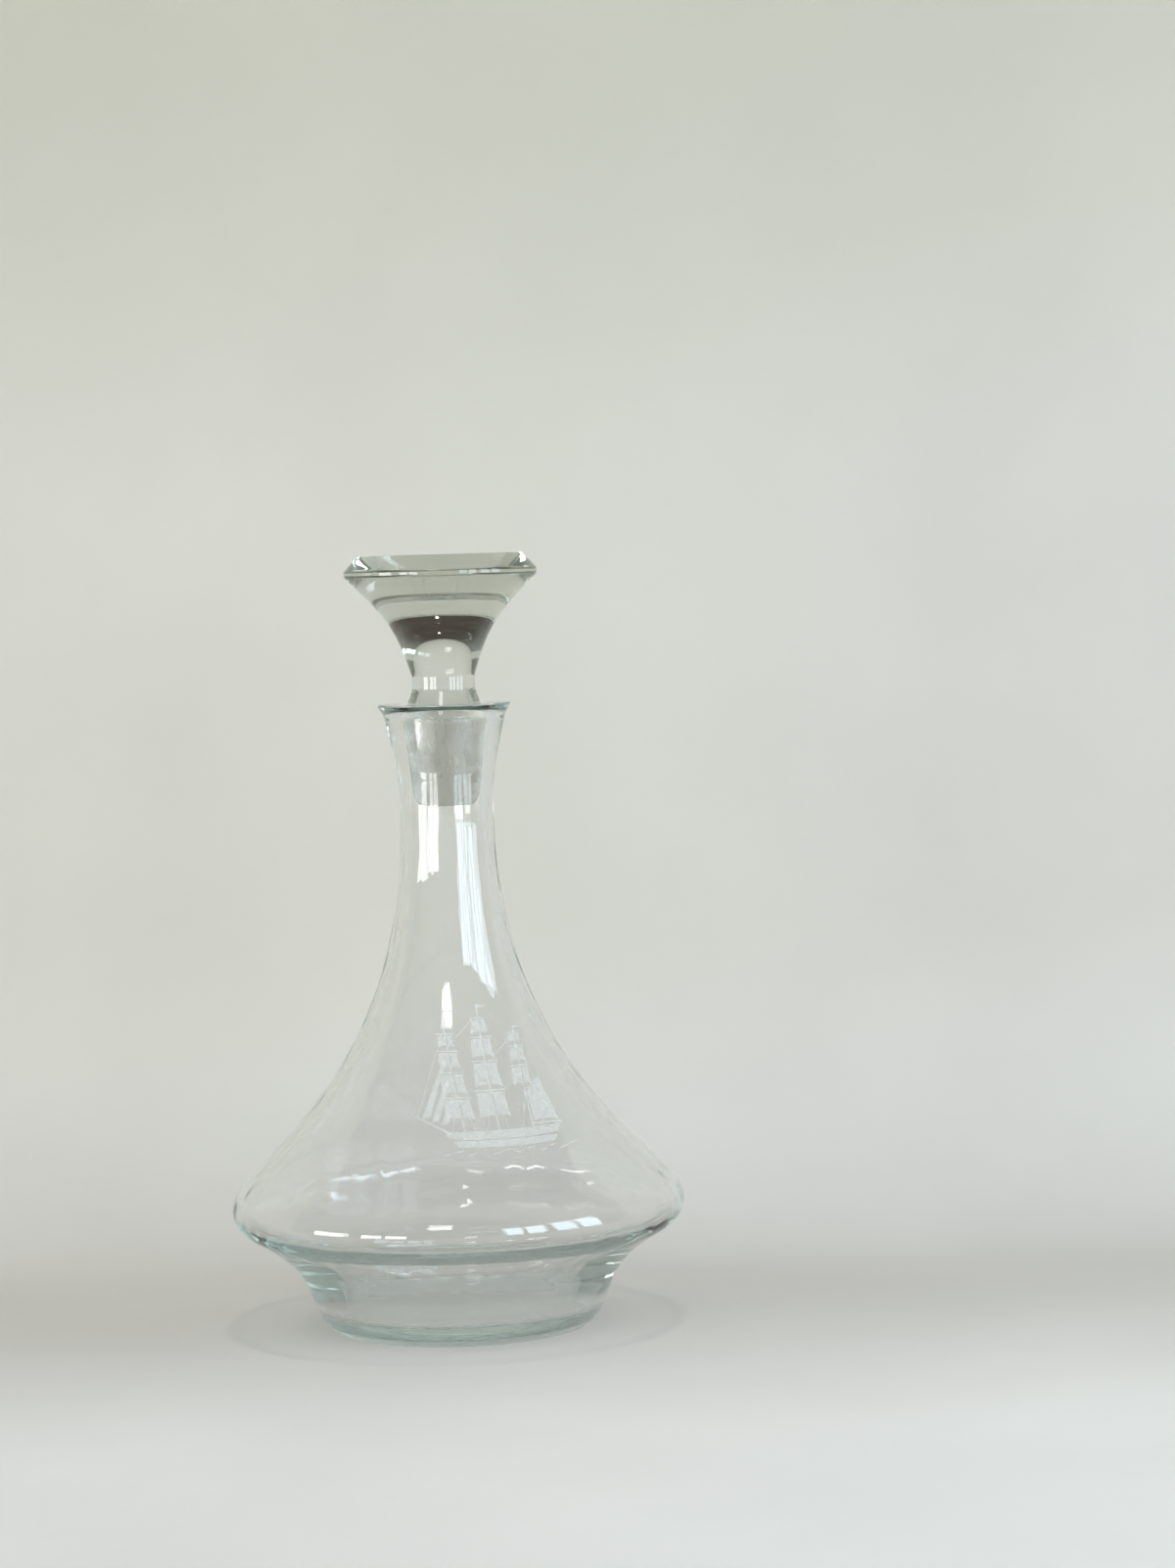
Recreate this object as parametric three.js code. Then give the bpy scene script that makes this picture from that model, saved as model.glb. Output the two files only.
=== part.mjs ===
// Etched glass decanter: a wide, low vessel with a tall trumpet neck, and its ground stopper.
// Millimetres, +Z up. The origin is the middle of the foot, on the surface that it stands on.
import * as THREE from 'three';

// The foot: a flat ground ring round a shallow hollow, with a rounded edge.
const footRadius = 43;
const footRingWidth = 7;
const footHollow = 2;
const heelWidth = 7.8;
const heelHeight = 12;

// The bowl: its widest ring, and where the outline turns from bulging to hollow, below and above.
const bowlRadius = 76.4;
const bowlHeight = 41;
const underTurnIn = 9.4;
const underTurnDown = 10.7;
const shoulderTurnIn = 10.1;
const shoulderTurnUp = 15;

// The neck and the lip, which ends in a wide flat ring round the mouth.
const rimHeight = 210;
const neckWaistDrop = 34;
const lipRadius = 22.3;
const lipFlat = 4.5;
const lipRound = 0.6;
const lipOverhang = 2.2;
const lipDepth = 5;

// The socket ground inside the mouth, which the stopper's plug fits.
const socketRadius = 14.36;
const socketDrop = 4;
const socketLength = 19;
const socketTaper = 0.11;

// Glass thickness, square to the outer surface.
const neckWall = 3.4;
const shoulderWall = 2.9;
const bowlWall = 2.6;
const underWall = 3.6;

// The well: the cavity reaches down into the foot and ends in a flat floor with a rounded corner.
const wellRadius = 43.8;
const wellHeight = 12;
const wellHeading = 246;
const wellRound = 3;
const floorHeight = 7.8;

// The stopper. Its heights are measured from the rim.
const stopperGap = 0.3;
const plugReach = 34;
const plugRound = 4.4;
const collarDrop = 4.4;
const stopperWaistRadius = 10.6;
const stopperWaistRise = 4.8;
const stopperWaistLength = 4.6;
const headRadius = 32.4;
const headUnderRise = 41.4;
const headChamfer = 1.5;
const girdleHeight = 2.1;
const bevelWidth = 4.6;
const bevelHeight = 5;

// How many flat sides stand for a full turn.
const turnSides = 56;

const point = (radius, height) => new THREE.Vector2(radius, height);

// A unit step in the half-section: 0 degrees leads away from the axis and 90 leads up.
function step(heading) {
  const angle = THREE.MathUtils.degToRad(heading);
  return point(Math.cos(angle), Math.sin(angle));
}

// A straight stretch of outline.
function straight(start, end) {
  return { curve: new THREE.LineCurve(start, end), steps: 1 };
}

// A smooth stretch that leaves one station at its heading and reaches the next at its own.
// A larger pull holds the curve longer to those headings.
function sweep(start, end, steps, pull = 0.36) {
  const reach = pull * start.at.distanceTo(end.at);
  const leaving = start.at.clone().addScaledVector(step(start.heading), reach);
  const arriving = end.at.clone().addScaledVector(step(end.heading), -reach);
  return { curve: new THREE.CubicBezierCurve(start.at, leaving, arriving, end.at), steps };
}

// The same station seen from the cavity: one wall further in, and headed the other way.
function inside(station, wall) {
  const inward = step(station.heading + 90);
  return { at: station.at.clone().addScaledVector(inward, wall), heading: station.heading + 180 };
}

// Every stretch in turn, as one list of points.
function trace(stretches) {
  const points = [stretches[0].curve.getPoint(0)];
  for (const { curve, steps } of stretches) {
    for (let count = 1; count <= steps; count += 1) {
      points.push(curve.getPoint(count / steps));
    }
  }
  return points;
}

function turned(name, stretches, material) {
  const geometry = new THREE.LatheGeometry(trace(stretches), turnSides);
  geometry.rotateX(Math.PI / 2);
  const mesh = new THREE.Mesh(geometry, material);
  mesh.name = name;
  return mesh;
}

// The slope of the ground socket, as a heading that leads up and out.
const socketHeading = THREE.MathUtils.radToDeg(Math.atan2(1, socketTaper));
const socketTop = rimHeight - socketDrop;
const socketRadiusAt = (height) => socketRadius - socketTaper * (socketTop - height);
const boreRadius = socketRadiusAt(socketTop - socketLength);

// The vessel's outline runs out along the foot, up the outside, over the lip and down the cavity.
function vesselOutline() {
  const neckWaist = { at: point(boreRadius + neckWall, rimHeight - neckWaistDrop), heading: 90 };
  const shoulderTurn = { at: point(bowlRadius - shoulderTurnIn, bowlHeight + shoulderTurnUp), heading: 137 };
  const widest = { at: point(bowlRadius, bowlHeight), heading: 90 };
  const underTurn = { at: point(bowlRadius - underTurnIn, bowlHeight - underTurnDown), heading: 31 };
  const footWaist = { at: point(footRadius + heelWidth, heelHeight), heading: 75 };
  const hollowMiddle = { at: point(0, footHollow), heading: 0 };
  const hollowEdge = { at: point(footRadius - footRingWidth, 0), heading: -8 };
  const footEdge = { at: point(footRadius, 0), heading: 28 };
  const flare = { at: point(lipRadius - lipOverhang, rimHeight - lipDepth), heading: 78 };

  const lipOutside = { at: point(lipRadius, rimHeight - lipRound), heading: 62 };
  const lipTop = { at: point(lipRadius - lipRound, rimHeight), heading: 180 };
  const mouth = { at: point(lipTop.at.x - lipFlat, rimHeight), heading: 180 };

  const socketStart = { at: point(socketRadius, socketTop), heading: socketHeading + 180 };
  const socketEnd = point(boreRadius, socketTop - socketLength);
  const boreWaist = inside(neckWaist, neckWall);
  const shoulderTurnInside = inside(shoulderTurn, shoulderWall);
  const widestInside = inside(widest, bowlWall);
  const underTurnInside = inside(underTurn, underWall);
  const wellSide = { at: point(wellRadius, wellHeight), heading: wellHeading };
  const floorEdge = { at: point(wellRadius - wellRound, floorHeight), heading: 180 };

  return [
    sweep(hollowMiddle, hollowEdge, 4),
    straight(hollowEdge.at, footEdge.at),
    sweep(footEdge, footWaist, 4, 0.3),
    sweep(footWaist, underTurn, 5, 0.33),
    sweep(underTurn, widest, 4, 0.39),
    sweep(widest, shoulderTurn, 5, 0.3),
    sweep(shoulderTurn, neckWaist, 15, 0.38),
    sweep(neckWaist, flare, 5),
    sweep(flare, lipOutside, 3),
    sweep(lipOutside, lipTop, 2, 0.4),
    straight(lipTop.at, mouth.at),
    sweep(mouth, socketStart, 5),
    straight(socketStart.at, socketEnd),
    straight(socketEnd, boreWaist.at),
    sweep(boreWaist, shoulderTurnInside, 15, 0.38),
    sweep(shoulderTurnInside, widestInside, 5, 0.3),
    sweep(widestInside, underTurnInside, 4, 0.39),
    sweep(underTurnInside, wellSide, 7),
    sweep(wellSide, floorEdge, 3, 0.4),
    straight(floorEdge.at, point(0, floorHeight)),
  ];
}

// The stopper's outline runs out along the plug's end, up the plug and the trumpet, over the head.
function stopperOutline() {
  const plugEnd = rimHeight - plugReach;
  const plugRadiusAt = (height) => socketRadiusAt(height) - stopperGap;
  const plugSide = { at: point(plugRadiusAt(plugEnd + plugRound), plugEnd + plugRound), heading: socketHeading };
  const plugFace = { at: point(plugSide.at.x - plugRound * 0.75, plugEnd), heading: 0 };
  const collarHeight = rimHeight - collarDrop;
  const collar = point(plugRadiusAt(collarHeight), collarHeight);
  const waist = point(stopperWaistRadius, rimHeight + stopperWaistRise);

  const headUnder = rimHeight + headUnderRise;
  const girdleStart = headUnder + headChamfer;
  const girdleEnd = girdleStart + girdleHeight;
  const topHeight = girdleEnd + bevelHeight;
  const trumpetStart = { at: point(waist.x, waist.y + stopperWaistLength), heading: 73 };
  const trumpetEnd = { at: point(headRadius - headChamfer, headUnder), heading: 44 };

  return [
    straight(point(0, plugEnd), plugFace.at),
    sweep(plugFace, plugSide, 4, 0.4),
    straight(plugSide.at, collar),
    straight(collar, waist),
    straight(waist, trumpetStart.at),
    sweep(trumpetStart, trumpetEnd, 11, 0.44),
    straight(trumpetEnd.at, point(headRadius, girdleStart)),
    straight(point(headRadius, girdleStart), point(headRadius, girdleEnd)),
    straight(point(headRadius, girdleEnd), point(headRadius - bevelWidth, topHeight)),
    straight(point(headRadius - bevelWidth, topHeight), point(0, topHeight)),
  ];
}

const vesselGlass = new THREE.MeshStandardMaterial({
  color: 0xe6efea,
  roughness: 0.03,
  metalness: 0,
  transparent: true,
  opacity: 0.35,
});

const stopperGlass = new THREE.MeshStandardMaterial({
  color: 0xdde5df,
  roughness: 0.06,
  metalness: 0,
  transparent: true,
  opacity: 0.45,
});

const decanter = new THREE.Group();
decanter.add(turned('decanter_body', vesselOutline(), vesselGlass));
decanter.add(turned('stopper', stopperOutline(), stopperGlass));

export default decanter;
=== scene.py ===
import math

import bpy
from mathutils import Matrix, Vector, noise


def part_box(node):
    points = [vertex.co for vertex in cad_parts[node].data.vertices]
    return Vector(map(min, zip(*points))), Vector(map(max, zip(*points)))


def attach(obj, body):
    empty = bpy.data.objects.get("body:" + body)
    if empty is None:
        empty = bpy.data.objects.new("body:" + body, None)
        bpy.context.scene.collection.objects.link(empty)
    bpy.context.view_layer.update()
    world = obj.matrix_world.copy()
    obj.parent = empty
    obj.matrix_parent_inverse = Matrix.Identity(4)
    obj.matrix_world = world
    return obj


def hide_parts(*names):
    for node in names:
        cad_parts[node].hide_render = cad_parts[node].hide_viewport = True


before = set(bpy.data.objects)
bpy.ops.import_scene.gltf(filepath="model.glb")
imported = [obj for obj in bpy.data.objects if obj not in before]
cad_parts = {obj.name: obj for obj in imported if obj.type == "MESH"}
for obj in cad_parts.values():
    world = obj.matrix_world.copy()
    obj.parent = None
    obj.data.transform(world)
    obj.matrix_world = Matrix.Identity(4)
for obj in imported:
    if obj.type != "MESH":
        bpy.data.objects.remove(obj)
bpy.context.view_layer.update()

# The camera stands in front of the decanter, a little under the stopper's top and turned slightly
# right, because the decanter stands left of the picture's middle. It leans a degree and a half.
PHOTO_HEIGHT = 1601
FOCAL_PIXELS = 4020
SENSOR_WIDTH = 36
CAMERA_AT = Vector((0, -1.3236, 0.2568))
CAMERA_TURN = math.radians(2.055)
CAMERA_DIP = math.radians(3.259)
CAMERA_LEAN = math.radians(-1.592)


def put(name, data):
    """Put a new object into the scene."""
    thing = bpy.data.objects.new(name, data)
    bpy.context.scene.collection.objects.link(thing)
    return thing


# Blender lays the sensor's width along the longer side, which is the picture's height here.
camera = put("camera", bpy.data.cameras.new("camera"))
bpy.context.scene.camera = camera
camera.data.sensor_width = SENSOR_WIDTH
camera.data.lens = SENSOR_WIDTH * FOCAL_PIXELS / PHOTO_HEIGHT
look = Vector((
    math.sin(CAMERA_TURN) * math.cos(CAMERA_DIP),
    math.cos(CAMERA_TURN) * math.cos(CAMERA_DIP),
    -math.sin(CAMERA_DIP),
))
level_right = Vector((math.cos(CAMERA_TURN), -math.sin(CAMERA_TURN), 0))
level_up = level_right.cross(look)
leaning_right = level_right * math.cos(CAMERA_LEAN) + level_up * math.sin(CAMERA_LEAN)
leaning_up = level_up * math.cos(CAMERA_LEAN) - level_right * math.sin(CAMERA_LEAN)
camera_axes = Matrix((leaning_right, leaning_up, -look)).transposed().to_4x4()
camera.matrix_world = Matrix.Translation(CAMERA_AT) @ camera_axes


# The vessel is blown in one piece of clear glass: lip, trumpet neck, wide low bowl, and a foot
# that the cavity reaches down into and that is ground flat underneath. Its outline is turned
# about the neck's axis.
MM = 0.001
VESSEL_SIDES = 216
SLOPE_STEPS = 60
foot_radius = 43 * MM
foot_ring_width = 7 * MM
foot_hollow = 2 * MM
heel_width = 7.8 * MM
heel_height = 12 * MM
bowl_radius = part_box("decanter_body")[1].x
bowl_height = 41 * MM
under_turn_in = 9.4 * MM
under_turn_down = 10.7 * MM
shoulder_turn_in = 10.1 * MM
shoulder_turn_up = 15 * MM
rim_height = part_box("decanter_body")[1].z
neck_waist_drop = 34 * MM
lip_radius = 22.3 * MM
lip_round = 0.6 * MM
lip_flat = 4.5 * MM
lip_overhang = 2.2 * MM
lip_depth = 5 * MM
socket_radius = 14.36 * MM
socket_drop = 4 * MM
socket_length = 19 * MM
socket_taper = 0.11
neck_wall = 3.4 * MM
shoulder_wall = 2.9 * MM
bowl_wall = 2.6 * MM
under_wall = 3.6 * MM
well_radius = 43.8 * MM
well_height = 12 * MM
well_heading = 246
well_round = 3 * MM
floor_height = 7.8 * MM


def station(radius, height, heading):
    """A point of an outline, and where the outline is headed there: 0 is outward and 90 is up."""
    angle = math.radians(heading)
    return Vector((radius, height)), Vector((math.cos(angle), math.sin(angle)))


def inside(place, wall):
    """The same station seen from the cavity: one wall further in, and headed the other way."""
    at, ahead = place
    return at + Vector((-ahead.y, ahead.x)) * wall, -ahead


def sweep(start, end, steps, pull=0.36):
    """Points of the smooth stretch that leaves start at its heading and reaches end at its own."""
    reach = (end[0] - start[0]).length * pull
    corners = (start[0], start[0] + start[1] * reach, end[0] - end[1] * reach, end[0])
    points = []
    for step in range(steps + 1):
        t = step / steps
        weights = ((1 - t) ** 3, 3 * t * (1 - t) ** 2, 3 * t * t * (1 - t), t ** 3)
        points.append(sum((corner * weight for corner, weight in zip(corners, weights)), Vector((0, 0))))
    return points


def straight(start, end, steps=6):
    """Points of a straight stretch, closer together at both ends, which keeps its shading flat."""
    points = []
    for step in range(steps + 1):
        share = (1 - math.cos(math.pi * step / steps)) / 2
        points.append(start.lerp(end, share))
    return points


def meshed(name, vertices, faces, smooth=True):
    """A piece with a mesh of its own."""
    mesh = bpy.data.meshes.new(name)
    mesh.from_pydata(vertices, [], faces)
    mesh.polygons.foreach_set("use_smooth", [smooth] * len(faces))
    return put(name, mesh)


def turned(name, stretches, sides):
    """One closed smooth mesh: the joined stretches, from axis to axis, turned about the Z axis."""
    outline = [stretches[0][0]]
    for stretch in stretches:
        outline.extend(stretch[1:])
    rings = outline[1:-1]
    vertices = [(0, 0, outline[0].y)]
    for radius, height in rings:
        for side in range(sides):
            turn = 2 * math.pi * side / sides
            vertices.append((radius * math.cos(turn), radius * math.sin(turn), height))
    vertices.append((0, 0, outline[-1].y))
    last = len(vertices) - 1
    faces = []
    for side in range(sides):
        beside = (side + 1) % sides
        faces.append((0, 1 + beside, 1 + side))
        for ring in range(len(rings) - 1):
            low, high = 1 + ring * sides, 1 + (ring + 1) * sides
            faces.append((low + side, low + beside, high + beside, high + side))
        top = 1 + (len(rings) - 1) * sides
        faces.append((last, top + side, top + beside))
    return meshed(name, vertices, faces)


socket_top = rim_height - socket_drop
socket_bottom = socket_top - socket_length
socket_heading = math.degrees(math.atan2(1, socket_taper))


def socket_radius_at(height):
    """The socket narrows evenly on its way down."""
    return socket_radius - socket_taper * (socket_top - height)


bore_radius = socket_radius_at(socket_bottom)
hollow_middle = station(0, foot_hollow, 0)
hollow_edge = station(foot_radius - foot_ring_width, 0, -8)
foot_edge = station(foot_radius, 0, 28)
foot_waist = station(foot_radius + heel_width, heel_height, 75)
under_turn = station(bowl_radius - under_turn_in, bowl_height - under_turn_down, 31)
widest = station(bowl_radius, bowl_height, 90)
shoulder_turn = station(bowl_radius - shoulder_turn_in, bowl_height + shoulder_turn_up, 137)
neck_waist = station(bore_radius + neck_wall, rim_height - neck_waist_drop, 90)
flare = station(lip_radius - lip_overhang, rim_height - lip_depth, 78)
lip_outside = station(lip_radius, rim_height - lip_round, 62)
lip_top = station(lip_radius - lip_round, rim_height, 180)
mouth = station(lip_radius - lip_round - lip_flat, rim_height, 180)
socket_start = station(socket_radius, socket_top, socket_heading + 180)
socket_end = Vector((bore_radius, socket_bottom))
bore_waist = inside(neck_waist, neck_wall)
shoulder_turn_inside = inside(shoulder_turn, shoulder_wall)
widest_inside = inside(widest, bowl_wall)
under_turn_inside = inside(under_turn, under_wall)
well_side = station(well_radius, well_height, well_heading)
floor_edge = station(well_radius - well_round, floor_height, 180)
bulge = sweep(widest, shoulder_turn, 16, 0.3)
slope = sweep(shoulder_turn, neck_waist, SLOPE_STEPS, 0.38)

vessel = turned("decanter_vessel", [
    sweep(hollow_middle, hollow_edge, 14),
    straight(hollow_edge[0], foot_edge[0]),
    sweep(foot_edge, foot_waist, 12, 0.3),
    sweep(foot_waist, under_turn, 14, 0.33),
    sweep(under_turn, widest, 12, 0.39),
    bulge,
    slope,
    sweep(neck_waist, flare, 14),
    sweep(flare, lip_outside, 8),
    sweep(lip_outside, lip_top, 6, 0.4),
    straight(lip_top[0], mouth[0]),
    sweep(mouth, socket_start, 14),
    straight(socket_start[0], socket_end, 5),
    straight(socket_end, bore_waist[0], 4),
    sweep(bore_waist, shoulder_turn_inside, SLOPE_STEPS, 0.38),
    sweep(shoulder_turn_inside, widest_inside, 16, 0.3),
    sweep(widest_inside, under_turn_inside, 12, 0.39),
    sweep(under_turn_inside, well_side, 20),
    sweep(well_side, floor_edge, 10, 0.4),
    straight(floor_edge[0], Vector((0, floor_height)), 8),
], VESSEL_SIDES)

RIPPLE_SIZE = 4 * MM
RIPPLE_LENGTH = 14 * MM
RIPPLE_DEPTH = 0.12 * MM
RIPPLE_FADE = 14 * MM
CALM_FOOT = 16 * MM
CAVITY_SHIFT = Vector((17, 5, 9))


def ripple(piece, calm_below, calm_above):
    """Blown glass isn't quite even: sink its surfaces a little here and there, but not at the ends.

    The shift gives the cavity other ripples than the outside has.
    """
    vertices = piece.data.vertices
    normals = [vertex.normal.copy() for vertex in vertices]
    for vertex, normal in zip(vertices, normals):
        at = vertex.co
        faces_in = normal.x * at.x + normal.y * at.y < 0
        place = Vector((at.x / RIPPLE_SIZE, at.y / RIPPLE_SIZE, at.z / RIPPLE_LENGTH))
        swirl = noise.noise(place + (CAVITY_SHIFT if faces_in else Vector()))
        clear_of_ends = min(at.z - calm_below, calm_above - at.z) / RIPPLE_FADE
        share = min(max(clear_of_ends, 0), 1)
        vertex.co = at - normal * RIPPLE_DEPTH * share * (swirl + 1) / 2


ripple(vessel, CALM_FOOT, socket_bottom)

WHITE = (1, 1, 1, 1)
GLASS_WHITE = (0.99, 0.99, 0.99, 1)
GLASS_IOR = 1.52
SLANT_BLEND = 0.2
SLANT_SHADE = (0.6, 0.61, 0.6, 1)
VESSEL_TINT = (0.77, 0.82, 0.8, 1)
VESSEL_TINT_DENSITY = 30
UNDERSIDE_DULL = 0.6
underside_dull_to = foot_hollow + 0.3 * MM
underside_clear_from = foot_hollow + 0.6 * MM


def new_material(name):
    """A node material, its Principled shader and its tree."""
    material = bpy.data.materials.new(name)
    material.use_nodes = True
    return material, material.node_tree.nodes["Principled BSDF"], material.node_tree


def place_on(tree):
    """Where a point is on its object, in metres."""
    return tree.nodes.new("ShaderNodeTexCoord").outputs["Object"]


def split(tree, place):
    """The X, Y and Z of a place."""
    parts = tree.nodes.new("ShaderNodeSeparateXYZ")
    tree.links.new(place, parts.inputs["Vector"])
    return parts.outputs


def spread(tree, value, low, high, to_low=0, to_high=1, kind="LINEAR"):
    """Stretch a value that goes from low to high so that it goes from to_low to to_high."""
    node = tree.nodes.new("ShaderNodeMapRange")
    node.interpolation_type = kind
    node.inputs["From Min"].default_value = low
    node.inputs["From Max"].default_value = high
    node.inputs["To Min"].default_value = to_low
    node.inputs["To Max"].default_value = to_high
    tree.links.new(value, node.inputs["Value"])
    return node.outputs["Result"]


def worked_out(tree, operation, first, second):
    """One value from two, such as their product or the larger of both."""
    node = tree.nodes.new("ShaderNodeMath")
    node.operation = operation
    tree.links.new(first, node.inputs[0])
    tree.links.new(second, node.inputs[1])
    return node.outputs["Value"]


def mixed(tree, share, first, second, kind="MIX"):
    """A colour between two, by a share from 0 to 1. Each may be an output or a plain value."""
    node = tree.nodes.new("ShaderNodeMix")
    node.data_type = "RGBA"
    node.blend_type = kind
    for socket, value in (("Factor", share), ("A", first), ("B", second)):
        if isinstance(value, bpy.types.NodeSocket):
            tree.links.new(value, node.inputs[socket])
        else:
            node.inputs[socket].default_value = value
    return node.outputs["Result"]


def open_up(tree, shader, share, clear):
    """Let a share of the light straight through the surface, by a transparent shader."""
    choice = tree.nodes.new("ShaderNodeMixShader")
    tree.links.new(share, choice.inputs["Fac"])
    tree.links.new(shader.outputs["BSDF"], choice.inputs[1])
    tree.links.new(clear.outputs["BSDF"], choice.inputs[2])
    tree.links.new(choice.outputs["Shader"], tree.nodes["Material Output"].inputs["Surface"])


def new_glass(name, tint, density):
    """Clear polished glass. It soaks up a little light on the way, so thick parts look greener."""
    glass, shader, tree = new_material(name)
    shader.inputs["Base Color"].default_value = GLASS_WHITE
    shader.inputs["Roughness"].default_value = 0
    shader.inputs["IOR"].default_value = GLASS_IOR
    shader.inputs["Transmission Weight"].default_value = 1
    soak = tree.nodes.new("ShaderNodeVolumeAbsorption")
    soak.inputs["Color"].default_value = tint
    soak.inputs["Density"].default_value = density
    tree.links.new(soak.outputs["Volume"], tree.nodes["Material Output"].inputs["Volume"])

    # Light for the table goes straight on through the glass, less where it strikes it at a slant.
    slant = tree.nodes.new("ShaderNodeLayerWeight")
    slant.inputs["Blend"].default_value = SLANT_BLEND
    clear = tree.nodes.new("ShaderNodeBsdfTransparent")
    tree.links.new(mixed(tree, slant.outputs["Facing"], WHITE, SLANT_SHADE), clear.inputs["Color"])
    path = tree.nodes.new("ShaderNodeLightPath").outputs
    passing = worked_out(tree, "MAXIMUM", path["Is Shadow Ray"], path["Is Diffuse Ray"])
    open_up(tree, shader, passing, clear)
    return glass, shader, tree


clear_glass, shader, tree = new_glass("clear_glass", VESSEL_TINT, VESSEL_TINT_DENSITY)

# The foot is ground underneath, so the glass is dull down there.
height = split(tree, place_on(tree))["Z"]
dull = spread(tree, height, underside_clear_from, underside_dull_to, 0, UNDERSIDE_DULL)
tree.links.new(dull, shader.inputs["Roughness"])
vessel.data.materials.append(clear_glass)
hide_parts("decanter_body")
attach(vessel, "vessel")


# The front of the vessel carries an etched picture of a sailing ship with three masts. Etching
# leaves a thin white frost on the glass: here thin patches that follow the outer surface.
SHIP_TURN = math.radians(16)
WATERLINE = 67.5 * MM
FROST_SKIN = 0.04 * MM
FROST_LIFT = 0.02 * MM
FROST_WHITE = (0.9, 0.92, 0.92, 1)
FROST_DULL = 0.85
FROST_COVER = (0.07, 0.23)
FROST_GRAIN = 900
NOISE_RANGE = (0.3, 0.7)
PATCH_STEP = 1.2
DECK = 4.5
FOREMAST = -11.5
MAINMAST = 0
MIZZEN = 12
MAST_TOPS = {FOREMAST: 37, MAINMAST: 43.5, MIZZEN: 36}
MAST_WIDTH = 0.55
YARD_WIDTH = 0.45
YARD_RISE = 0.55
YARD_OVERHANG = 0.6
SAIL_GAP = 0.9
SAIL_ARCH = 0.6
SAIL_BELLY = 0.35
SAIL_WAIST = 0.25
ROPE_WIDTH = 0.22
WAVES = 13
WAVES_FROM = -24
WAVE_STEP = 4
WAVE_LENGTH = 2.6
WAVE_RISE = 0.35
WAVE_WIDTH = ROPE_WIDTH * 1.6
SEA_LINES = (-1.2, -2.1)
shoulder_line = bulge + slope[1:]
ship_across = Vector((math.cos(SHIP_TURN), math.sin(SHIP_TURN), 0))
ship_ahead = Vector((math.sin(SHIP_TURN), -math.cos(SHIP_TURN), 0))
frost_vertices = []
frost_faces = []


def on_glass(across, up, lift):
    """A place of the picture, in millimetres from its middle and its waterline, on the glass."""
    height = WATERLINE + up * MM
    for low, high in zip(shoulder_line, shoulder_line[1:]):
        if high.y >= height:
            break
    rise = high - low
    radius = low.x + rise.x * (height - low.y) / rise.y
    side = across * MM
    out = ship_across * side + ship_ahead * math.sqrt(radius ** 2 - side ** 2)
    normal = (out.normalized() * rise.y - Vector((0, 0, rise.x))).normalized()
    return out + Vector((0, 0, height)) + normal * lift


def frost(rows):
    """One thin closed patch of frost from a grid of picture places."""
    wide = len(rows[0])
    first = len(frost_vertices)
    layer = len(rows) * wide
    for lift in (FROST_LIFT, FROST_LIFT + FROST_SKIN):
        frost_vertices.extend(on_glass(across, up, lift) for row in rows for across, up in row)

    def quad(a, b, c, d):
        frost_faces.append((first + a, first + b, first + c, first + d))

    for row in range(len(rows) - 1):
        for column in range(wide - 1):
            here = row * wide + column
            quad(here + wide, here + wide + 1, here + 1, here)
            quad(layer + here, layer + here + 1, layer + here + 1 + wide, layer + here + wide)
    low_edge = list(range(wide))
    right_edge = [row * wide + wide - 1 for row in range(len(rows))]
    high_edge = list(range(layer - 1, layer - wide - 1, -1))
    left_edge = [row * wide for row in range(len(rows) - 1, -1, -1)]
    rim = low_edge[:-1] + right_edge[:-1] + high_edge[:-1] + left_edge[:-1]
    for here, there in zip(rim, rim[1:] + rim[:1]):
        quad(here, there, layer + there, layer + here)


def cloth(low_left, low_right, high_left, high_right, belly=0.0, waist=0.0):
    """A sail: its lower edge arches up by its belly and its sides draw in by its waist."""
    tall = max(2, round(abs(high_left[1] - low_left[1]) / PATCH_STEP) + 1)
    wide = max(3, round(abs(low_right[0] - low_left[0]) / PATCH_STEP) + 1)
    rows = []
    for row in range(tall):
        up = row / (tall - 1)
        points = []
        for column in range(wide):
            along = column / (wide - 1)
            low = [a + (b - a) * along for a, b in zip(low_left, low_right)]
            high = [a + (b - a) * along for a, b in zip(high_left, high_right)]
            across = low[0] + (high[0] - low[0]) * up + waist * 4 * up * (1 - up) * (1 - 2 * along)
            lift = belly * 4 * along * (1 - along) * (1 - up)
            points.append((across, low[1] + (high[1] - low[1]) * up + lift))
        rows.append(points)
    frost(rows)


def stroke(start, end, width):
    """A straight line of the picture, such as a mast, a yard or a rope."""
    run = math.dist(start, end)
    side = ((start[1] - end[1]) / run * width / 2, (end[0] - start[0]) / run * width / 2)
    steps = max(1, round(run / PATCH_STEP))
    rows = []
    for sign in (-1, 1):
        row = []
        for step in range(steps + 1):
            at = [a + (b - a) * step / steps for a, b in zip(start, end)]
            row.append((at[0] + sign * side[0], at[1] + sign * side[1]))
        rows.append(row)
    frost(rows)


def square_rig(mast, sails):
    """A mast with its square sails, each given by its foot, its head and half its width at both."""
    stroke((mast, DECK), (mast, MAST_TOPS[mast]), MAST_WIDTH)
    for foot, head, foot_half, head_half in sails:
        for side in (-1, 1):
            inner = mast + side * SAIL_GAP / 2
            low = (mast + side * foot_half, foot)
            high = (mast + side * head_half, head)
            ends = ((inner, foot + SAIL_ARCH), low, (inner, head), high)
            if side < 0:
                ends = (low, ends[0], high, ends[2])
            cloth(*ends, belly=SAIL_BELLY, waist=side * SAIL_WAIST)
        yard_half = head_half + YARD_OVERHANG
        yard_height = head + YARD_RISE
        stroke((mast - yard_half, yard_height), (mast + yard_half, yard_height), YARD_WIDTH)


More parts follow.
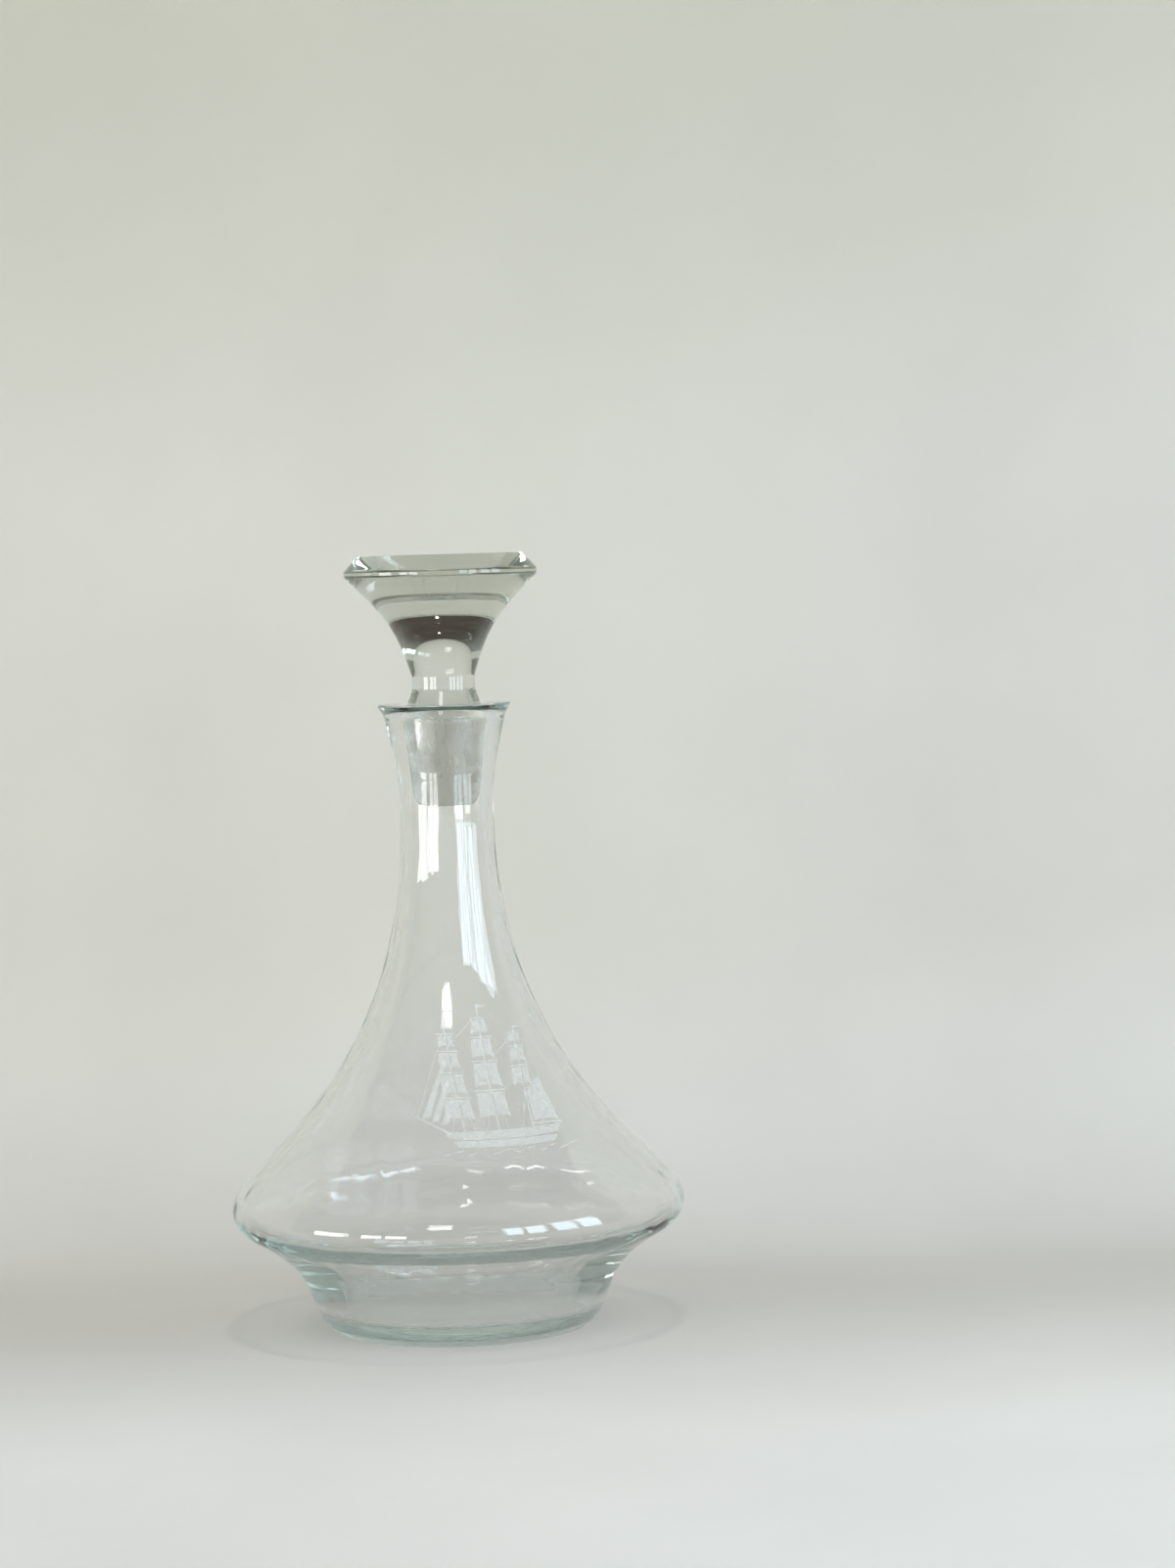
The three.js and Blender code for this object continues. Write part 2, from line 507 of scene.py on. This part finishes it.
square_rig(FOREMAST, [
    (8, 14.2, 4.6, 4),
    (15.8, 22, 4, 3.4),
    (23.6, 28.6, 3.4, 2.8),
    (30.2, 34, 2.6, 2),
])
square_rig(MAINMAST, [
    (8.4, 16, 5.2, 4.6),
    (17.6, 25, 4.6, 3.9),
    (26.6, 32.6, 3.9, 3.2),
    (34.2, 38.6, 3, 2.3),
])
square_rig(MIZZEN, [
    (17.2, 22.8, 3.6, 3.1),
    (24.4, 28.8, 3, 2.5),
    (30.4, 33.4, 2.3, 1.8),
])

# The gaff sail at the stern with its gaff and boom, the jibs before the foremast, and the bowsprit.
cloth((12.9, 6.4), (22.4, 6), (12.9, 15.6), (18.4, 18.6), belly=0.5)
stroke((12.2, 16), (19.2, 19.4), YARD_WIDTH)
stroke((12.2, 5.8), (23.4, 5.4), YARD_WIDTH)
for foot, reach, head in ((6.6, 5.2, 15), (7.6, 7.8, 21), (8.6, 10.2, 27)):
    tack = (-13.2 - reach, foot)
    cloth(tack, (tack[0] + 2.4, foot + 0.4), (-13.1, head), (-12.7, head - 1.5), belly=0.2)
stroke((-16, 4.2), (-25, 9.2), MAST_WIDTH)

# The hull in two strakes.
cloth((-16.2, 2.6), (20.6, 2.6), (-18.4, 4.6), (22.4, 4.8), belly=-0.5)
cloth((-14.6, 0.2), (19, 0.2), (-15.8, 1.9), (20.2, 1.9), belly=-0.4)

# The stays between the masts, the shrouds at both sides of each, and a pennant on each top.
stays = [
    ((MAINMAST, 41), (FOREMAST, 30)),
    ((MIZZEN, 34), (MAINMAST, 24)),
    ((FOREMAST, 36), (-24.6, 9)),
    ((MIZZEN, 35), (20.4, 5.4)),
]
for mast, top in ((FOREMAST, 16), (MAINMAST, 18), (MIZZEN, 16)):
    stays.extend(((mast, top), (mast + side * 3.6, 4.8)) for side in (-1, 1))
for start, end in stays:
    stroke(start, end, ROPE_WIDTH)
for mast, top in MAST_TOPS.items():
    cloth((mast, top - 1.4), (mast + 3.2, top - 0.9), (mast, top), (mast + 3.2, top - 0.5), belly=0.3)

# The sea is two lines of short strokes.
for wave in range(WAVES):
    start = WAVES_FROM + wave * WAVE_STEP
    depth = SEA_LINES[wave % 2]
    stroke((start, depth), (start + WAVE_LENGTH, depth + WAVE_RISE), WAVE_WIDTH)


def grain_on(tree, place, scale, detail):
    """Soft random greys over the surface, most of them within NOISE_RANGE."""
    grain = tree.nodes.new("ShaderNodeTexNoise")
    grain.inputs["Scale"].default_value = scale
    grain.inputs["Detail"].default_value = detail
    tree.links.new(place, grain.inputs["Vector"])
    return grain.outputs["Fac"]


etching = meshed("etched_ship", frost_vertices, frost_faces, smooth=False)
frosted, shader, tree = new_material("etched_frost")
shader.inputs["Base Color"].default_value = FROST_WHITE
shader.inputs["Roughness"].default_value = FROST_DULL
grain = grain_on(tree, place_on(tree), FROST_GRAIN, detail=2)
tree.links.new(spread(tree, grain, *NOISE_RANGE, *FROST_COVER), shader.inputs["Alpha"])
etching.data.materials.append(frosted)
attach(etching, "vessel")


# The stopper is one solid piece of the same glass: a bevelled disc on a trumpet neck, cut and
# polished, above a tapered plug that is ground dull to grip the ground socket.
STOPPER_SIDES = 160
STOPPER_TINT = (0.833, 0.847, 0.807, 1)
STOPPER_TINT_DENSITY = 42
GROUND_GREY = (0.62, 0.61, 0.58, 1)
GROUND_DULL = (0.08, 0.4)
GROUND_EDGE = 0.4 * MM
STREAK_SCALE = (320, 320, 60)
STREAK_RANGE = (0.42, 0.6)
ROUND_STEPS = 4
ROUND_PULL = 0.34
stopper_gap = 0.3 * MM
plug_reach = 34 * MM
plug_round = 4.4 * MM
plug_round_width = plug_round * 0.75
collar_drop = 4.4 * MM
stopper_waist_radius = 10.6 * MM
stopper_waist_rise = 4.8 * MM
stopper_waist_length = 4.6 * MM
head_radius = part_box("stopper")[1].x
head_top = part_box("stopper")[1].z
head_chamfer = 1.5 * MM
girdle_height = 2.1 * MM
bevel_width = 4.6 * MM
bevel_height = 5 * MM
edge_round = 0.35 * MM
girdle_round = 1.5 * MM


def rounded(before, corner, after, radius):
    """Points of the small arc that rounds off a corner of an outline."""
    back = (before - corner).normalized()
    on = (after - corner).normalized()
    half = back.angle(on) / 2
    reach = radius / math.tan(half)
    start = corner + back * reach
    end = corner + on * reach
    return sweep((start, -back), (end, on), ROUND_STEPS, ROUND_PULL)


plug_end = rim_height - plug_reach
plug_side_radius = socket_radius_at(plug_end + plug_round) - stopper_gap
collar_height = rim_height - collar_drop
plug_side = station(plug_side_radius, plug_end + plug_round, socket_heading)
plug_face = station(plug_side_radius - plug_round_width, plug_end, 0)
collar = Vector((socket_radius_at(collar_height) - stopper_gap, collar_height))
waist = Vector((stopper_waist_radius, rim_height + stopper_waist_rise))
trumpet_start = station(stopper_waist_radius, waist.y + stopper_waist_length, 73)
girdle_end = head_top - bevel_height
girdle_start = girdle_end - girdle_height
trumpet_end = station(head_radius - head_chamfer, girdle_start - head_chamfer, 44)
girdle_low = Vector((head_radius, girdle_start))
girdle_high = Vector((head_radius, girdle_end))
table_edge = Vector((head_radius - bevel_width, head_top))
head_middle = Vector((0, head_top))
low_round = rounded(trumpet_end[0], girdle_low, girdle_high, girdle_round)
high_round = rounded(girdle_low, girdle_high, table_edge, girdle_round)
table_round = rounded(girdle_high, table_edge, head_middle, edge_round)

stopper = turned("glass_stopper", [
    straight(Vector((0, plug_end)), plug_face[0]),
    sweep(plug_face, plug_side, 10, 0.4),
    straight(plug_side[0], collar, 8),
    straight(collar, waist),
    straight(waist, trumpet_start[0]),
    sweep(trumpet_start, trumpet_end, 30, 0.44),
    straight(trumpet_end[0], low_round[0], 3),
    low_round,
    straight(low_round[-1], high_round[0], 3),
    high_round,
    straight(high_round[-1], table_round[0], 5),
    table_round,
    straight(table_round[-1], head_middle, 8),
], STOPPER_SIDES)

stopper_glass, shader, tree = new_glass("stopper_glass", STOPPER_TINT, STOPPER_TINT_DENSITY)

# Inside the socket the plug is ground grey and dull, in upright streaks that catch the light.
place = place_on(tree)
height = split(tree, place)["Z"]
ground = spread(tree, height, socket_top + GROUND_EDGE, socket_top - GROUND_EDGE)
stretch = tree.nodes.new("ShaderNodeMapping")
stretch.inputs["Scale"].default_value = STREAK_SCALE
tree.links.new(place, stretch.inputs["Vector"])
streaks = grain_on(tree, stretch.outputs["Vector"], scale=1, detail=3)
dull = spread(tree, streaks, *STREAK_RANGE, *GROUND_DULL)
tree.links.new(worked_out(tree, "MULTIPLY", ground, dull), shader.inputs["Roughness"])
tree.links.new(mixed(tree, ground, GLASS_WHITE, GROUND_GREY), shader.inputs["Base Color"])
stopper.data.materials.append(stopper_glass)
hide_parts("stopper")
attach(stopper, "stopper")


# The table and the wall behind it are one pale matt sheet with a soft bend, as in a plain studio.
# The table also goes on behind the wall, where only the views from behind see it.
WALL_AWAY = 0.2
BEND_RADIUS = 0.12
BEND_STEPS = 12
SHEET_REACH = 3
SHEET_TOP = 0.75
SHEET_DULL = 0.9
# Besides the sheet's own pale colour, these paints are painted light and shade: darker at the right and
# high on the wall, lighter on the table and lightest near the front.
SHEET_LEFT = (0.63, 0.597, 0.532, 1)
SHEET_RIGHT_SHADED = (0.61, 0.575, 0.525, 1)
SHEET_HIGH_SHADED = (0.52, 0.49, 0.417, 1)
SHEET_LOW_LIT = (0.66, 0.633, 0.6, 1)
SHEET_NEAR_LIT = (0.98, 0.965, 0.95, 1)
MOTTLE_SCALE = 7
MOTTLE = (0.965, 1.035)
MELT_FROM = 0.6
MELT_TO = 1.2

bend_from = WALL_AWAY - BEND_RADIUS
profile = [(y, 0) for y in (-SHEET_REACH, -1.2, -0.6, -0.3, 0)]
for step in range(BEND_STEPS + 1):
    turn = math.pi / 2 * step / BEND_STEPS
    profile.append((bend_from + BEND_RADIUS * math.sin(turn), BEND_RADIUS * (1 - math.cos(turn))))
profile.extend([(WALL_AWAY, 0.4), (WALL_AWAY, SHEET_TOP)])
faces = [(2 * row, 2 * row + 1, 2 * row + 3, 2 * row + 2) for row in range(len(profile) - 1)]
behind = 2 * len(profile)
faces.append((behind, behind + 1, behind + 3, behind + 2))
profile.extend([(bend_from, 0), (SHEET_REACH, 0)])
vertices = [(x, y, z) for y, z in profile for x in (-SHEET_REACH, SHEET_REACH)]
sheet = meshed("studio_sheet", vertices, faces)
sheet_paint, shader, tree = new_material("studio_sheet")
shader.inputs["Roughness"].default_value = SHEET_DULL
place = place_on(tree)
parts = split(tree, place)


def sheet_light_fade(before, axis, low, high, colour):
    """Let the paint turn from the colour so far to another, between two places along an axis, as painted
    light and shade.
    """
    return mixed(tree, spread(tree, parts[axis], low, high, kind="SMOOTHSTEP"), before, colour)


# Painted shade towards the right and high up on the wall, painted light on the table and more of it
# towards the front.
paint = sheet_light_fade(SHEET_LEFT, "X", -0.1, 0.35, SHEET_RIGHT_SHADED)
paint = sheet_light_fade(paint, "Z", 0.25, 0.48, SHEET_HIGH_SHADED)
paint = sheet_light_fade(paint, "Z", 0.12, 0, SHEET_LOW_LIT)
paint = sheet_light_fade(paint, "Y", 0.06, -0.22, SHEET_NEAR_LIT)
mottle = grain_on(tree, place, MOTTLE_SCALE, detail=5)
uneven = tree.nodes.new("ShaderNodeVectorMath")
uneven.operation = "SCALE"
tree.links.new(paint, uneven.inputs["Vector"])
tree.links.new(spread(tree, mottle, *NOISE_RANGE, *MOTTLE), uneven.inputs["Scale"])
tree.links.new(uneven.outputs["Vector"], shader.inputs["Base Color"])

# The sheet has only a front, so that it hides nothing from behind, and far from the decanter it
# melts into the plain backdrop for the camera.
facing = tree.nodes.new("ShaderNodeNewGeometry").outputs
path = tree.nodes.new("ShaderNodeLightPath").outputs
distance = tree.nodes.new("ShaderNodeVectorMath")
distance.operation = "LENGTH"
tree.links.new(place, distance.inputs[0])
far_off = spread(tree, distance.outputs["Value"], MELT_FROM, MELT_TO, kind="SMOOTHSTEP")
melting = worked_out(tree, "MULTIPLY", far_off, path["Is Camera Ray"])
unseen = worked_out(tree, "MAXIMUM", melting, facing["Backfacing"])
open_up(tree, shader, unseen, tree.nodes.new("ShaderNodeBsdfTransparent"))
sheet.data.materials.append(sheet_paint)


# The room around the table is what the glass mirrors and bends: pale low down, darker at both
# sides, and dark brown overhead.
ROOM_LIGHT = 0.72
BACKDROP = (0.86, 0.86, 0.81, 1)
world = bpy.data.worlds.new("studio_world")
bpy.context.scene.world = world
world.use_nodes = True
room = world.node_tree
background = room.nodes["Background"]
background.inputs["Strength"].default_value = ROOM_LIGHT
direction = split(room, room.nodes.new("ShaderNodeTexCoord").outputs["Generated"])


def room_ramp(axis, stops):
    """Greys of the room along one direction, as a colour ramp from -1 to 1."""
    ramp = room.nodes.new("ShaderNodeValToRGB")
    while len(ramp.color_ramp.elements) < len(stops):
        ramp.color_ramp.elements.new(0.5)
    for element, (at, colour) in zip(ramp.color_ramp.elements, stops):
        element.position = (at + 1) / 2
        element.color = (*colour, 1)
    room.links.new(spread(room, direction[axis], -1, 1), ramp.inputs["Fac"])
    return ramp.outputs["Color"]


by_height = room_ramp("Z", [
    (0.0, (0.62, 0.62, 0.58)),
    (0.35, (0.6, 0.6, 0.57)),
    (0.6, (0.42, 0.41, 0.38)),
    (0.8, (0.18, 0.15, 0.125)),
    (0.93, (0.085, 0.055, 0.04)),
])
by_side = room_ramp("X", [
    (-0.9, (0.32, 0.37, 0.34)),
    (0.0, (1, 1, 1)),
    (0.9, (0.6, 0.64, 0.61)),
])
by_depth = room_ramp("Y", [
    (-0.95, (0.85, 0.85, 0.84)),
    (-0.6, (1, 1, 1)),
])
seen_room = mixed(room, 1, by_height, by_side, "MULTIPLY")
seen_room = mixed(room, 1, seen_room, by_depth, "MULTIPLY")

# The glass sees the room, but the camera sees one plain pale backdrop.
by_camera = room.nodes.new("ShaderNodeLightPath").outputs["Is Camera Ray"]
room.links.new(mixed(room, by_camera, seen_room, BACKDROP), background.inputs["Color"])


# Soft daylight comes in by windows at both sides, bluer from the right. A small window high
# behind the camera and a lamp overhead add to it. The camera sees them only in the glass.
DECANTER_MIDDLE = Vector((0, 0, 0.12))
PANE_BAR = 0.08
LEFT_LIGHT = (1, 0.99, 0.96)
RIGHT_LIGHT = (0.7, 0.87, 1)


def window(name, turn, rise, away, width, height, power, colour, columns, rows):
    """A window of several panes, turned from the camera's side towards the right by turn degrees.

    It is raised by rise degrees. Lengths are in metres, and its whole power is in watts.
    """
    turn = math.radians(turn)
    rise = math.radians(rise)
    across = Vector((math.cos(turn), math.sin(turn), 0))
    outward = Vector((math.sin(turn), -math.cos(turn), 0))
    middle = outward * away * math.cos(rise) + Vector((0, 0, away * math.sin(rise)))
    middle += DECANTER_MIDDLE
    pane_wide = (width - PANE_BAR * (columns - 1)) / columns
    pane_high = (height - PANE_BAR * (rows - 1)) / rows
    for column in range(columns):
        for row in range(rows):
            light = bpy.data.lights.new(name, "AREA")
            light.shape = "RECTANGLE"
            light.size = pane_wide
            light.size_y = pane_high
            light.energy = power / (columns * rows)
            light.color = colour
            pane = put(name, light)
            pane.visible_camera = False
            pane.location = middle + across * (pane_wide + PANE_BAR) * (column - (columns - 1) / 2)
            pane.location.z += (pane_high + PANE_BAR) * (row - (rows - 1) / 2)
            inward = DECANTER_MIDDLE - pane.location
            pane.rotation_euler = inward.to_track_quat("-Z", "Y").to_euler()


window("window_left", -38, 1, 1.9, 0.75, 0.42, 8, LEFT_LIGHT, 2, 1)
window("window_far_left", -68, 1, 1.9, 0.6, 0.42, 7, LEFT_LIGHT, 1, 1)
window("window_right", 33, 13, 2.0, 0.72, 0.95, 13, RIGHT_LIGHT, 2, 1)
window("window_far_right", 62, 14, 2.0, 0.9, 1.0, 16, RIGHT_LIGHT, 2, 1)
window("window_behind", -11, 38, 2.2, 0.4, 0.5, 4, (1, 1, 0.98), 1, 2)
window("ceiling_lamp", 20, 83, 1.9, 0.05, 0.05, 8.5, (1, 0.99, 0.95), 1, 1)


# Light runs a long way inside clear glass before it finds its way out.
LIGHT_BOUNCES = 48
cycles = bpy.context.scene.cycles
cycles.max_bounces = LIGHT_BOUNCES
cycles.transmission_bounces = LIGHT_BOUNCES
cycles.glossy_bounces = LIGHT_BOUNCES
bpy.context.scene.view_settings.view_transform = "Standard"
